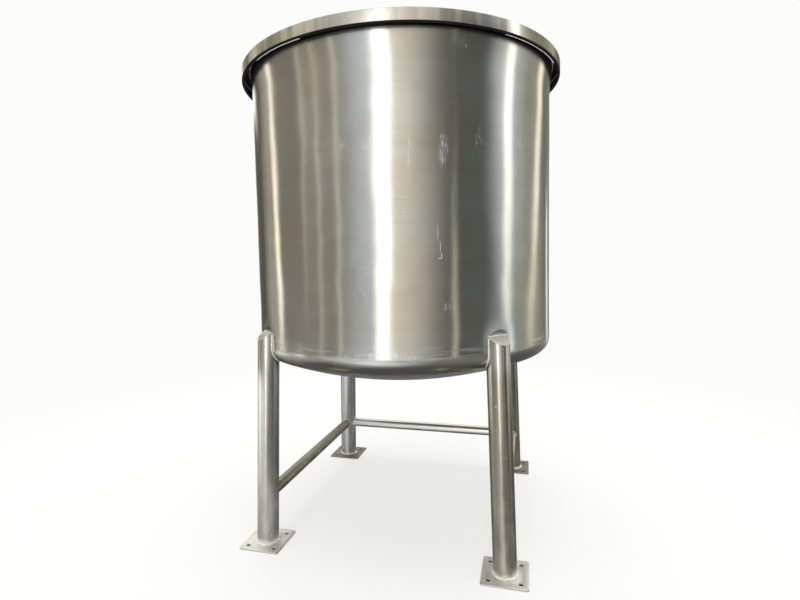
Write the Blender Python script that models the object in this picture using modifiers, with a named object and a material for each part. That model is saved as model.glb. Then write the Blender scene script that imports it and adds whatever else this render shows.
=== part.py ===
# Open-topped dished-bottom storage tank on four splayed pipe legs, in stainless steel sheet and pipe.
# Metres, +Z up. The origin is on the floor under the tank's axis, and the open side of the leg frame faces -Y.

import bpy
import bmesh
from math import asin, cos, pi, radians, sin, sqrt, tan
from mathutils import Matrix, Vector

OBJECT_NAME = "storage_tank"

# Vessel
SHELL_RADIUS = 0.575          # outside of the rolled sheet
SHEET = 0.003                 # shell and dished end
TOTAL_HEIGHT = 1.721          # floor to the top of the rim
TANGENT_HEIGHT = 0.7165       # seam between the straight shell and the dished end
CROWN_RADIUS = 1.425          # large radius of the dished end, outside
KNUCKLE_RADIUS = 0.062        # small radius at its edge, outside
SHELL_SEGMENTS = 96
CROWN_POINTS = 7
KNUCKLE_POINTS = 6

# Rim, a flat ring with a hoop hanging from its outer edge, whose lower edge is turned in
RIM_RADIUS = 0.612
RIM_DEPTH = 0.038
RIM_THICKNESS = 0.003
RIM_LIP = 0.012               # width of the turned-in edge, from the hoop's outer face
RIM_EDGE_ROUNDING = 0.0012

# Legs
LEG_NAMES = ("front_right", "back_right", "back_left", "front_left")
FIRST_LEG_AZIMUTH = radians(-45)
LEG_RADIUS = 0.03805          # 76.1 mm pipe
LEG_WALL = 0.003
LEG_SEGMENTS = 40
FOOT_RADIUS = 0.600           # tank axis to the leg's axis at the floor
SPLAY = radians(2.27)
CAP_HIGH = 0.767              # where the slanted cap meets the shell
CAP_SLOPE = radians(34)
CAP_THICKNESS = 0.003

# Base plates
PLATE_SIZE = 0.150
PLATE_THICKNESS = 0.005
PLATE_CORNER = 0.008
BOLT_SPACING = 0.100
BOLT_HOLE_RADIUS = 0.0075
BOLT_HOLE_SEGMENTS = 20
WELD_LEG = 0.006              # fillet weld round the foot of each leg
WELD_TOE = 0.0012             # blunt edge where the fillet meets the pipe or the plate
WELD_ROOT = 0.002             # how far in the weld starts before the pipe trims it
WELD_CROWN = 0.6              # how full the fillet is, as a share of its leg

# Braces between the legs, none on the front
BRACE_RADIUS = 0.0212         # 42.4 mm pipe
BRACE_WALL = 0.002
BRACE_HEIGHT = 0.172
BRACE_SEGMENTS = 28
BRACED_SIDES = (("right", "front_right", "back_right"), ("back", "back_right", "back_left"),
                ("left", "back_left", "front_left"))

GAP = 0.0003                  # left between touching pieces
MERGE = 0.00001
REACH = 1.0                   # size of the boxes that trim a piece
OVERRUN = 0.2                 # how far an untrimmed pipe runs past its cut

# Finishes: linear colour and roughness
FINISHES = {
    "brushed_shell": ((0.42, 0.42, 0.41, 1.0), 0.28),
    "brushed_end": ((0.36, 0.36, 0.35, 1.0), 0.32),
    "satin_rim": ((0.50, 0.50, 0.48, 1.0), 0.35),
    "satin_pipe": ((0.45, 0.45, 0.44, 1.0), 0.30),
    "ground_cap": ((0.42, 0.43, 0.37, 1.0), 0.45),
    "flat_plate": ((0.55, 0.55, 0.54, 1.0), 0.40),
    "weld_metal": ((0.62, 0.61, 0.58, 1.0), 0.25),
}


def clear_scene():
    for existing in list(bpy.data.objects):
        bpy.data.objects.remove(existing, do_unlink=True)


def new_collection(name):
    collection = bpy.data.collections.new(name)
    bpy.context.scene.collection.children.link(collection)
    return collection


def steel(name, colour, roughness):
    material = bpy.data.materials.new(name)
    material.use_nodes = True
    shader = material.node_tree.nodes["Principled BSDF"]
    shader.inputs["Base Color"].default_value = colour
    shader.inputs["Metallic"].default_value = 1.0
    shader.inputs["Roughness"].default_value = roughness
    material.diffuse_color = colour
    return material


def mesh_object(name, shape, collection):
    mesh = bpy.data.meshes.new(name)
    shape.to_mesh(mesh)
    shape.free()
    made = bpy.data.objects.new(name, mesh)
    collection.objects.link(made)
    return made


def add_boolean(target, cutter, operation="DIFFERENCE"):
    modifier = target.modifiers.new(operation.lower(), "BOOLEAN")
    modifier.operation = operation
    modifier.object = cutter
    modifier.solver = "EXACT"


def baked_mesh(source):
    """The object's shape with its modifiers and its place taken in."""
    depsgraph = bpy.context.evaluated_depsgraph_get()
    mesh = bpy.data.meshes.new_from_object(source.evaluated_get(depsgraph))
    mesh.transform(source.matrix_world)
    return mesh


def finish(made, material, sharp_angle=radians(35)):
    made.data.materials.clear()
    made.data.materials.append(material)
    made.data.shade_smooth()
    made.data.set_sharp_from_angle(angle=sharp_angle)


def profile_object(name, points, closed, collection):
    """A line of radius and height pairs in the XZ plane, ready to be turned."""
    shape = bmesh.new()
    line = [shape.verts.new((radius, 0.0, height)) for radius, height in points]
    for first, second in zip(line, line[1:]):
        shape.edges.new((first, second))
    if closed:
        shape.edges.new((line[-1], line[0]))
    return mesh_object(name, shape, collection)


def turned(name, points, closed, collection, segments=SHELL_SEGMENTS):
    """The profile spun round +Z, with its outer side listed from top to bottom."""
    made = profile_object(name, points, closed, collection)
    screw = made.modifiers.new("turn", "SCREW")
    screw.axis = "Z"
    screw.angle = 2 * pi
    screw.steps = segments
    screw.render_steps = segments
    screw.use_merge_vertices = True
    screw.merge_threshold = MERGE
    screw.use_smooth_shade = True
    return made


def dished_profile(offset):
    """Radius and height from the tangent line down to the axis, moved outwards by offset."""
    knuckle_centre = SHELL_RADIUS - KNUCKLE_RADIUS
    centre_gap = CROWN_RADIUS - KNUCKLE_RADIUS
    crown_centre = TANGENT_HEIGHT + sqrt(centre_gap ** 2 - knuckle_centre ** 2)
    joint_angle = asin(knuckle_centre / centre_gap)
    points = []
    for step in range(KNUCKLE_POINTS):
        angle = pi / 2 + (joint_angle - pi / 2) * step / KNUCKLE_POINTS
        reach = KNUCKLE_RADIUS + offset
        points.append((knuckle_centre + reach * sin(angle), TANGENT_HEIGHT - reach * cos(angle)))
    for step in range(CROWN_POINTS + 1):
        angle = joint_angle * (1 - step / CROWN_POINTS)
        reach = CROWN_RADIUS + offset
        points.append((reach * sin(angle), crown_centre - reach * cos(angle)))
    return points


def make_shell(collection, material):
    top = TOTAL_HEIGHT - RIM_THICKNESS - GAP
    bottom = TANGENT_HEIGHT + GAP
    inner = SHELL_RADIUS - SHEET
    section = [(SHELL_RADIUS, top), (SHELL_RADIUS, bottom), (inner, bottom), (inner, top)]
    finish(turned("shell", section, True, collection), material)


def make_dished_end(collection, material):
    outside = dished_profile(0.0)
    inside = dished_profile(-SHEET)
    finish(turned("dished_end", inside[::-1] + outside, False, collection), material)


def make_rim(collection, material):
    hoop_inner = RIM_RADIUS - RIM_THICKNESS
    flange_outer = hoop_inner - GAP
    flange_inner = SHELL_RADIUS - SHEET
    flange_bottom = TOTAL_HEIGHT - RIM_THICKNESS
    hoop_bottom = TOTAL_HEIGHT - RIM_DEPTH
    flange = [(flange_outer, TOTAL_HEIGHT), (flange_outer, flange_bottom),
              (flange_inner, flange_bottom), (flange_inner, TOTAL_HEIGHT)]
    finish(turned("rim_flange", flange, True, collection), material)
    edge = RIM_EDGE_ROUNDING
    lip_inner = RIM_RADIUS - RIM_LIP
    lip_top = hoop_bottom + RIM_THICKNESS
    hoop = [(RIM_RADIUS - edge, TOTAL_HEIGHT), (RIM_RADIUS, TOTAL_HEIGHT - edge), (RIM_RADIUS, hoop_bottom + edge),
            (RIM_RADIUS - edge, hoop_bottom), (lip_inner, hoop_bottom), (lip_inner, lip_top), (hoop_inner, lip_top),
            (hoop_inner, TOTAL_HEIGHT)]
    finish(turned("rim_hoop", hoop, True, collection), material)


def leg_frame(azimuth):
    """Places a leg's own axes: X outwards, Z up along the leaning pipe, origin on the floor."""
    foot = Matrix.Rotation(azimuth, 4, "Z") @ Matrix.Translation((FOOT_RADIUS, 0, 0))
    return foot @ Matrix.Rotation(-SPLAY, 4, "Y")


def cylinder(name, radius, low, high, segments, collection, ends=True):
    shape = bmesh.new()
    middle = Matrix.Translation((0, 0, (low + high) / 2))
    bmesh.ops.create_cone(shape, cap_ends=ends, segments=segments, radius1=radius, radius2=radius,
                          depth=high - low, matrix=middle)
    return mesh_object(name, shape, collection)


def box(name, centre, size, collection):
    shape = bmesh.new()
    place = Matrix.Translation(centre) @ Matrix.Diagonal((*size, 1.0))
    bmesh.ops.create_cube(shape, size=1.0, matrix=place)
    return mesh_object(name, shape, collection)


def add_wall(tube, thickness):
    wall = tube.modifiers.new("wall", "SOLIDIFY")
    wall.thickness = thickness
    wall.offset = -1.0
    wall.use_even_offset = True


def make_cutters(collection):
    """Closed shapes that trim the first leg's pieces and the braces' ends."""
    grown = dished_profile(GAP)
    tank_cutter = turned("cut_vessel", [(0.0, TOTAL_HEIGHT), (SHELL_RADIUS + GAP, TOTAL_HEIGHT)] + grown, False,
                         collection)
    below_foot = (0, 0, PLATE_THICKNESS + GAP - REACH / 2)
    floor_cutter = box("cut_floor", below_foot, (2 * REACH, 2 * REACH, REACH), collection)
    slant = Matrix.Rotation(CAP_SLOPE, 4, "Y")
    place = Matrix.Rotation(FIRST_LEG_AZIMUTH, 4, "Z") @ Matrix.Translation((SHELL_RADIUS, 0, CAP_HIGH)) @ slant
    above_pipe = (0, 0, REACH / 2 - CAP_THICKNESS - GAP)
    above_cutter = box("cut_above_cap", above_pipe, (REACH, REACH, REACH), collection)
    slab = box("cap_slab", (0, 0, -CAP_THICKNESS / 2), (REACH, REACH, CAP_THICKNESS), collection)
    above_cutter.matrix_world = place
    slab.matrix_world = place
    pipe_cutters = {}
    for turn, name in enumerate(LEG_NAMES):
        pipe = cylinder("cut_pipe_" + name, LEG_RADIUS + GAP, -OVERRUN, BRACE_HEIGHT + OVERRUN, LEG_SEGMENTS,
                        collection)
        pipe.matrix_world = leg_frame(FIRST_LEG_AZIMUTH + turn * pi / 2)
        pipe_cutters[name] = pipe
    for cutter in collection.objects:
        cutter.hide_render = True
        cutter.display_type = "WIRE"
    return {"vessel": tank_cutter, "floor": floor_cutter, "above_cap": above_cutter, "slab": slab,
            "pipes": pipe_cutters}


def four_copies(pattern, suffix, collection, material):
    """One object for each leg, sharing the pattern's shape, a quarter turn apart."""
    mesh = baked_mesh(pattern)
    bpy.data.objects.remove(pattern, do_unlink=True)
    mesh.name = suffix
    for turn, name in enumerate(LEG_NAMES):
        copy = bpy.data.objects.new(name + "_" + suffix, mesh)
        collection.objects.link(copy)
        copy.rotation_euler.z = turn * pi / 2
        finish(copy, material)


def make_legs(collection, cutters, material):
    leg = cylinder("leg_pattern", LEG_RADIUS, -OVERRUN, CAP_HIGH + OVERRUN, LEG_SEGMENTS, collection, ends=False)
    leg.matrix_world = leg_frame(FIRST_LEG_AZIMUTH)
    add_wall(leg, LEG_WALL)
    for trim in ("vessel", "floor", "above_cap"):
        add_boolean(leg, cutters[trim])
    four_copies(leg, "leg", collection, material)


def make_leg_caps(collection, cutters, material):
    cap = cylinder("cap_pattern", LEG_RADIUS, CAP_HIGH - OVERRUN, CAP_HIGH + OVERRUN, LEG_SEGMENTS, collection)
    cap.matrix_world = leg_frame(FIRST_LEG_AZIMUTH)
    add_boolean(cap, cutters["slab"], "INTERSECT")
    add_boolean(cap, cutters["vessel"])
    four_copies(cap, "leg_cap", collection, material)


def plate_centre():
    return Matrix.Rotation(FIRST_LEG_AZIMUTH, 4, "Z") @ Vector((FOOT_RADIUS, 0, 0))


def make_base_plates(collection, cutter_collection, material):
    centre = plate_centre()
    middle = (centre.x, centre.y, PLATE_THICKNESS / 2)
    plate = box("plate_pattern", middle, (PLATE_SIZE, PLATE_SIZE, PLATE_THICKNESS), collection)
    weights = plate.data.attributes.new("bevel_weight_edge", "FLOAT", "EDGE")
    for edge in plate.data.edges:
        first, second = [plate.data.vertices[index].co for index in edge.vertices]
        if abs(first.z - second.z) > MERGE:
            weights.data[edge.index].value = 1.0
    rounding = plate.modifiers.new("corners", "BEVEL")
    rounding.limit_method = "WEIGHT"
    rounding.width = PLATE_CORNER
    rounding.segments = 4
    for side in (-1, 1):
        for end in (-1, 1):
            hole = cylinder("cut_bolt_hole", BOLT_HOLE_RADIUS, -PLATE_THICKNESS, 2 * PLATE_THICKNESS,
                            BOLT_HOLE_SEGMENTS, cutter_collection)
            hole.location = (centre.x + side * BOLT_SPACING / 2, centre.y + end * BOLT_SPACING / 2, 0)
            hole.hide_render = True
            hole.display_type = "WIRE"
            add_boolean(plate, hole)
    bpy.context.view_layer.update()
    four_copies(plate, "base_plate", collection, material)


def make_foot_welds(collection, cutters, material):
    bottom = PLATE_THICKNESS + GAP
    inner = LEG_RADIUS - WELD_ROOT
    crown = WELD_CROWN * WELD_LEG
    section = [(LEG_RADIUS + WELD_TOE, bottom + WELD_LEG), (LEG_RADIUS + crown, bottom + crown),
               (LEG_RADIUS + WELD_LEG, bottom + WELD_TOE), (LEG_RADIUS + WELD_LEG, bottom), (inner, bottom),
               (inner, bottom + WELD_LEG)]
    weld = turned("weld_pattern", section, True, collection, LEG_SEGMENTS)
    weld.matrix_world = Matrix.Translation(plate_centre())
    add_boolean(weld, cutters["pipes"][LEG_NAMES[0]])
    four_copies(weld, "foot_weld", collection, material)


def make_braces(collection, cutters, material):
    axis_radius = FOOT_RADIUS - BRACE_HEIGHT * tan(SPLAY)
    end_point = Vector((axis_radius, 0, BRACE_HEIGHT))
    ends = {name: Matrix.Rotation(FIRST_LEG_AZIMUTH + turn * pi / 2, 4, "Z") @ end_point
            for turn, name in enumerate(LEG_NAMES)}
    for side, first, second in BRACED_SIDES:
        start, end = ends[first], ends[second]
        length = (end - start).length
        brace = cylinder(side + "_brace", BRACE_RADIUS, 0, length, BRACE_SEGMENTS, collection, ends=False)
        turn = (end - start).to_track_quat("Z", "Y").to_matrix().to_4x4()
        brace.matrix_world = Matrix.Translation(start) @ turn
        add_wall(brace, BRACE_WALL)
        add_boolean(brace, cutters["pipes"][first])
        add_boolean(brace, cutters["pipes"][second])
        finish(brace, material)


def main():
    clear_scene()
    parts = new_collection(OBJECT_NAME)
    cutter_collection = new_collection("cutters")
    finishes = {name: steel(name, colour, roughness) for name, (colour, roughness) in FINISHES.items()}
    cutters = make_cutters(cutter_collection)
    bpy.context.view_layer.update()
    make_shell(parts, finishes["brushed_shell"])
    make_dished_end(parts, finishes["brushed_end"])
    make_rim(parts, finishes["satin_rim"])
    make_legs(parts, cutters, finishes["satin_pipe"])
    make_leg_caps(parts, cutters, finishes["ground_cap"])
    make_base_plates(parts, cutter_collection, finishes["flat_plate"])
    make_foot_welds(parts, cutters, finishes["weld_metal"])
    make_braces(parts, cutters, finishes["satin_pipe"])


main()
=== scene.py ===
# Looks for the open-topped stainless storage tank on four pipe legs.
import bpy
import bmesh
from math import asin, atan2, ceil, cos, hypot, pi, radians, sin, sqrt, tan
from mathutils import Matrix, Vector, noise


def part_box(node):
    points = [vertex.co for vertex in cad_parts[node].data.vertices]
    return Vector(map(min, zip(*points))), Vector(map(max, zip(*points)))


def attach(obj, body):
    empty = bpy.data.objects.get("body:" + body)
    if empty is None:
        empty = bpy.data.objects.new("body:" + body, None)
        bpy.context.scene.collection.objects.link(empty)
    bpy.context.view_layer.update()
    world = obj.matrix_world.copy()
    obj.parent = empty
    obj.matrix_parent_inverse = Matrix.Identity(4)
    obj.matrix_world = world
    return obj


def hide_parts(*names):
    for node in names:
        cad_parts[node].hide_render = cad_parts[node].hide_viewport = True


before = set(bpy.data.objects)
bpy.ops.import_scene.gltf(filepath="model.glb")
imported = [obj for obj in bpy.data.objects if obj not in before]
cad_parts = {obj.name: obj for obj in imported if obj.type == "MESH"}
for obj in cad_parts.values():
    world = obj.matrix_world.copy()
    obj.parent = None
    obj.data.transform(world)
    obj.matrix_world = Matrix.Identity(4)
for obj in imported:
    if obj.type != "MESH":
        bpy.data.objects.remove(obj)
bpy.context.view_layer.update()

print("frame loaded:", len(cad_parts), "nodes")

# Sizes read from the frame, in metres
shellLow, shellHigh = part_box("shell")
endLow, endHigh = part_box("dished_end")
flangeLow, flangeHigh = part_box("rim_flange")
hoopLow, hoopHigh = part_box("rim_hoop")
plateLow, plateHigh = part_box("front_right_base_plate")
braceLow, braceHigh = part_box("back_brace")

shellRadius = shellHigh.x
tangentHeight = (shellLow.z + endHigh.z) / 2
rimTop = flangeHigh.z
rimRadius = hoopHigh.x
rimBottom = hoopLow.z
plateTop = plateHigh.z
braceHeight = (braceLow.z + braceHigh.z) / 2

vessel = {
    "sheet": 0.003,
    "crown": 1.425,         # large radius of the dished end, outside
    "knuckle": 0.062,       # small radius at its edge, outside
    "turns": 240,           # steps round the tank
    "rows": 44,             # steps up the shell
    "knuckleSteps": 14,
    "crownSteps": 26,
}

rim = {
    "lip": 0.012,           # width of the turned-in lower edge
    "bend": 0.0034,         # outer radius of the turn
    "blunt": 0.0009,        # ground edges
    "flangeEdge": 0.0008,
    "lipRuns": ((-44, -14), (-128, -106), (44, 112), (136, 190)),       # weld runs on it, in degrees
}

leg = {
    "names": ("front_right", "back_right", "back_left", "front_left"),
    "firstTurn": radians(-45),
    "radius": 0.03805,
    "wall": 0.003,
    "gap": 0.0002,          # pipes and caps stop this far from the sheet
    "foot": 0.600,          # tank axis to the leg's axis at the floor
    "lean": radians(2.27),
    "capHigh": 0.767,       # where the cap meets the shell
    "capSlope": radians(34),
    "capSheet": 0.003,
    "capEdge": 0.0007,
    "capSeat": 0.0016,      # the pipe ends this far under the cap's face
    "sides": 72,
}

brace = {
    "radius": 0.0212,
    "wall": 0.002,
    "gap": 0.0001,          # its ends stop this far from the legs
    "sides": 48,
    "runs": (("right", 0, 1), ("back", 1, 2), ("left", 2, 3)),
}


# Small helpers

def linearColour(hexCode):
    channels = [int(hexCode[i:i + 2], 16) / 255 for i in (1, 3, 5)]
    return tuple(c / 12.92 if c <= 0.04045 else ((c + 0.055) / 1.055) ** 2.4 for c in channels) + (1.0,)


def addNode(tree, kind, inputs=None, **settings):
    node = tree.nodes.new("ShaderNode" + kind)
    for name, value in settings.items():
        setattr(node, name, value)
    for socket, value in (inputs or {}).items():
        if isinstance(value, bpy.types.NodeSocket):
            tree.links.new(value, node.inputs[socket])
        else:
            node.inputs[socket].default_value = value
    return node


def startMaterial(name, anisotropy=0.0, turn=0.0):
    material = bpy.data.materials.new(name)
    material.use_nodes = True
    tree = material.node_tree
    shader = tree.nodes["Principled BSDF"]
    shader.inputs["Metallic"].default_value = 1.0
    shader.inputs["Anisotropic"].default_value = anisotropy
    shader.inputs["Anisotropic Rotation"].default_value = turn
    return material, tree, shader


def addObject(name, data):
    made = bpy.data.objects.new(name, data)
    bpy.context.scene.collection.objects.link(made)
    return made


def newObject(name, bm):
    mesh = bpy.data.meshes.new(name)
    bm.to_mesh(mesh)
    bm.free()
    return addObject(name, mesh)


def settle(piece):
    graph = bpy.context.evaluated_depsgraph_get()
    shape = bpy.data.meshes.new_from_object(piece.evaluated_get(graph))
    piece.modifiers.clear()
    piece.data = shape


def carve(piece, cutters):
    for cutter in cutters:
        cut = piece.modifiers.new("cut", "BOOLEAN")
        cut.object = cutter
        cut.solver = "EXACT"
    settle(piece)


def discard(pieces):
    for piece in pieces:
        bpy.data.objects.remove(piece, do_unlink=True)


def smoothShade(piece, sharpDegrees=35):
    piece.data.shade_smooth()
    piece.data.set_sharp_from_angle(angle=radians(sharpDegrees))


def roundEdges(piece, width):
    rounding = piece.modifiers.new("brokenEdge", "BEVEL")
    rounding.width = width
    rounding.segments = 2
    rounding.limit_method = "ANGLE"
    rounding.angle_limit = radians(40)
    settle(piece)
    smoothShade(piece, 40)


def place(piece, material, nodes=()):
    piece.data.materials.clear()
    piece.data.materials.append(material)
    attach(piece, "root")
    if nodes:
        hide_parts(*nodes)


def spinProfile(points, closed):
    bm = bmesh.new()
    line = [bm.verts.new((radius, 0, height)) for radius, height in points]
    pairs = list(zip(line, line[1:]))
    if closed:
        pairs.append((line[-1], line[0]))
    edges = [bm.edges.new(pair) for pair in pairs]
    bmesh.ops.spin(bm, geom=line + edges, cent=(0, 0, 0), axis=(0, 0, 1), angle=2 * pi, steps=vessel["turns"],
                   use_merge=True)
    bmesh.ops.remove_doubles(bm, verts=bm.verts, dist=1e-6)
    bmesh.ops.recalc_face_normals(bm, faces=bm.faces)
    return bm


def overCorners(point):
    # Height plus distance from the axis: it runs on from an upright face to a flat one
    return point.z + hypot(point.x, point.y)


def mapRound(bm, radius, along=lambda point: point.z, axisFrame=Matrix.Identity(4)):
    layer = bm.loops.layers.uv.new("metres")
    back = axisFrame.inverted()
    for face in bm.faces:
        centre = back @ face.calc_center_median()
        middle = atan2(centre.y, centre.x)
        for loop in face.loops:
            point = back @ loop.vert.co
            angle = atan2(point.y, point.x)
            if angle - middle > pi:
                angle -= 2 * pi
            if middle - angle > pi:
                angle += 2 * pi
            loop[layer].uv = (angle * radius, along(point))


# Vessel

def endProfile(offset):
    knuckleCentre = shellRadius - vessel["knuckle"]
    centreGap = vessel["crown"] - vessel["knuckle"]
    crownCentre = tangentHeight + sqrt(centreGap ** 2 - knuckleCentre ** 2)
    joint = asin(knuckleCentre / centreGap)
    points = []
    for i in range(vessel["knuckleSteps"]):
        angle = pi / 2 + (joint - pi / 2) * i / vessel["knuckleSteps"]
        reach = vessel["knuckle"] + offset
        points.append((knuckleCentre + reach * sin(angle), tangentHeight - reach * cos(angle)))
    for i in range(vessel["crownSteps"] + 1):
        angle = joint * (1 - i / vessel["crownSteps"])
        reach = vessel["crown"] + offset
        points.append((reach * sin(angle), crownCentre - reach * cos(angle)))
    return points


def tankRadiusAt(height):
    if height >= tangentHeight:
        return shellRadius
    drop = min(tangentHeight - height, vessel["knuckle"])
    return shellRadius - vessel["knuckle"] + sqrt(vessel["knuckle"] ** 2 - drop ** 2)


def ripple(point, scale, seed):
    return noise.noise(point * scale + Vector((seed, 0, 0)))


dents = {
    "wave": 0.22,           # metres between the sheet's slow swells
    "depth": 0.0013,
    "pull": 0.0048,         # how far the sheet is drawn in at a leg's top
    "pullReach": 0.048,
    "pullHeight": 0.752,
    "flare": 0.0100,        # the top edge opens a little under the rim
    "flareFrom": 0.110,     # below the top of the rim
    "flareSide": radians(-50),      # and most at this side
}


def swellAt(azimuth, height):
    point = Vector((shellRadius * cos(azimuth), shellRadius * sin(azimuth), height))
    swell = ripple(point, 1 / dents["wave"], 3.0) + 0.35 * ripple(point, 3 / dents["wave"], 9.0)
    swell *= dents["depth"]
    fromLeg = (azimuth - leg["firstTurn"] + pi / 4) % (pi / 2) - pi / 4
    reach = hypot(fromLeg * shellRadius, height - dents["pullHeight"]) / dents["pullReach"]
    # A bell curve round each leg's top
    swell -= dents["pull"] * 2.718 ** (-reach * reach)
    rise = min(1.0, max(0.0, (height - rimTop + dents["flareFrom"]) / dents["flareFrom"]))
    flare = dents["flare"] * (0.7 + 0.3 * cos(azimuth - dents["flareSide"]))
    return swell * (1 - rise) + flare * rise * rise * (3 - 2 * rise)


def dentSheet(bm):
    for vert in bm.verts:
        outward = Vector((vert.co.x, vert.co.y, 0))
        if outward.length < 0.05:
            continue
        fade = min(1.0, (outward.length - 0.05) / 0.4)
        azimuth = atan2(vert.co.y, vert.co.x)
        vert.co += outward.normalized() * swellAt(azimuth, vert.co.z) * fade


def makeShell(material):
    top, bottom = shellHigh.z, shellLow.z
    inner = shellRadius - vessel["sheet"]
    heights = [top + (bottom - top) * i / vessel["rows"] for i in range(vessel["rows"] + 1)]
    bm = spinProfile([(shellRadius, z) for z in heights] + [(inner, z) for z in reversed(heights)], True)
    dentSheet(bm)
    mapRound(bm, shellRadius)
    piece = newObject("shellSheet", bm)
    smoothShade(piece)
    place(piece, material, ["shell"])


def makeEnd(material):
    bm = spinProfile(endProfile(-vessel["sheet"])[::-1] + endProfile(0.0), False)
    dentSheet(bm)
    mapRound(bm, shellRadius, overCorners)
    piece = newObject("dishedEndPressing", bm)
    smoothShade(piece)
    place(piece, material, ["dished_end"])


def arcPoints(centre, radius, start, end, steps):
    angles = [radians(start + (end - start) * i / steps) for i in range(steps + 1)]
    return [(centre[0] + radius * cos(angle), centre[1] + radius * sin(angle)) for angle in angles]


def finishRing(name, section, radius, material, node):
    bm = spinProfile(section, True)
    mapRound(bm, radius, overCorners)
    ring = newObject(name, bm)
    smoothShade(ring, 60)
    place(ring, material, [node])


def makeRim(material):
    # Flange: a flat ring with blunt edges
    sheet, edge = vessel["sheet"], rim["flangeEdge"]
    inner, outer = shellRadius - sheet, rimRadius - 0.0006
    flange = []
    for x, z, start in ((outer - edge, rimTop - edge, 90), (outer - edge, rimTop - sheet + edge, 0),
                        (inner + edge, rimTop - sheet + edge, -90), (inner + edge, rimTop - edge, -180)):
        flange += arcPoints((x, z), edge, start, start - 90, 3)
    finishRing("rimFlange", flange, outer, material, "rim_flange")

    # Hoop: a band with its lower edge turned in, drawn from the top down its outer face
    bend, inside, blunt = rim["bend"], rim["bend"] - sheet, rim["blunt"]
    low, top = rimBottom, rimTop - 0.0001
    lipInner = rimRadius - rim["lip"]
    band = arcPoints((rimRadius - blunt, top - blunt), blunt, 90, 0, 4)
    band += arcPoints((rimRadius - bend, low + bend), bend, 0, -90, 6)
    band += arcPoints((lipInner + blunt, low + blunt), blunt, -90, -180, 4)
    band += arcPoints((lipInner + blunt, low + sheet - blunt), blunt, 180, 90, 4)
    band += arcPoints((rimRadius - bend, low + bend), inside, -90, 0, 3)
    band += [(rimRadius - sheet, top)]
    finishRing("rimHoop", band, rimRadius, material, "rim_hoop")


# Legs

def legAzimuth(turn):
    return leg["firstTurn"] + turn * pi / 2


def legSpot(turn, reach, height=0.0):
    return Matrix.Rotation(legAzimuth(turn), 4, "Z") @ Vector((reach, 0, height))


def legFrame(turn):
    return (Matrix.Rotation(legAzimuth(turn), 4, "Z") @ Matrix.Translation((leg["foot"], 0, 0))
            @ Matrix.Rotation(-leg["lean"], 4, "Y"))


def capFrame(turn):
    return (Matrix.Rotation(legAzimuth(turn), 4, "Z") @ Matrix.Translation((shellRadius, 0, leg["capHigh"]))
            @ Matrix.Rotation(leg["capSlope"], 4, "Y"))


def roundBar(radius, low, high, sides, axisFrame, ends=False):
    bm = bmesh.new()
    middle = axisFrame @ Matrix.Translation((0, 0, (low + high) / 2))
    bmesh.ops.create_cone(bm, cap_ends=ends, segments=sides, radius1=radius, radius2=radius, depth=high - low,
                          matrix=middle)
    return bm


def trim(bm, point, normal, inner=False):
    cut = bmesh.ops.bisect_plane(bm, geom=bm.verts[:] + bm.edges[:] + bm.faces[:], plane_co=point,
                                 plane_no=normal, clear_inner=inner, clear_outer=not inner)
    return [item for item in cut["geom_cut"] if isinstance(item, bmesh.types.BMEdge)]


def tankCutter():
    # The tank as one closed solid, a hair larger
    gap, rows = leg["gap"], 60
    side = [(shellRadius + gap, rimTop + (tangentHeight - rimTop) * i / rows) for i in range(rows)]
    bm = spinProfile([(0.0, rimTop)] + side + endProfile(gap), False)
    dentSheet(bm)
    return newObject("tankCutter", bm)


def finishPipe(pipe, sizes, cutters, axisFrame, material, node):
    wall = pipe.modifiers.new("wall", "SOLIDIFY")
    wall.thickness = sizes["wall"]
    wall.offset = -1
    carve(pipe, cutters)
    bm = bmesh.new()
    bm.from_mesh(pipe.data)
    mapRound(bm, sizes["radius"], axisFrame=axisFrame)
    bm.to_mesh(pipe.data)
    bm.free()
    smoothShade(pipe)
    place(pipe, material, [node])


def makeLegs(pipeMaterials, capMaterial):
    cutter = tankCutter()
    high = leg["capHigh"] + 0.1         # over the slant, and then trimmed to it
    for turn, name in enumerate(leg["names"]):
        axisFrame, slant = legFrame(turn), capFrame(turn)
        up = slant.to_3x3() @ Vector((0, 0, 1))
        bm = roundBar(leg["radius"], -0.05, high, leg["sides"], axisFrame)
        trim(bm, slant.translation - up * leg["capSeat"], up)
        trim(bm, (0, 0, plateTop), (0, 0, 1), inner=True)
        pipe = newObject(name + "_pipe", bm)
        finishPipe(pipe, leg, [cutter], axisFrame, pipeMaterials[turn], name + "_leg")

        bm = roundBar(leg["radius"], leg["capHigh"] - 0.15, high, leg["sides"], axisFrame, True)
        for offset, normal in ((0.0, up), (-leg["capSheet"], -up)):
            edges = trim(bm, slant.translation + up * offset, normal)
            bmesh.ops.contextual_create(bm, geom=edges)
        bmesh.ops.recalc_face_normals(bm, faces=bm.faces)
        cap = newObject(name + "_cap", bm)
        carve(cap, [cutter])
        roundEdges(cap, leg["capEdge"])
        place(cap, capMaterial, [name + "_leg_cap"])
    discard([cutter])


# Base plates

plate = {"corner": 0.008, "holeSpacing": 0.100, "holeRadius": 0.0075, "holeSides": 40, "edge": 0.0006}


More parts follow.
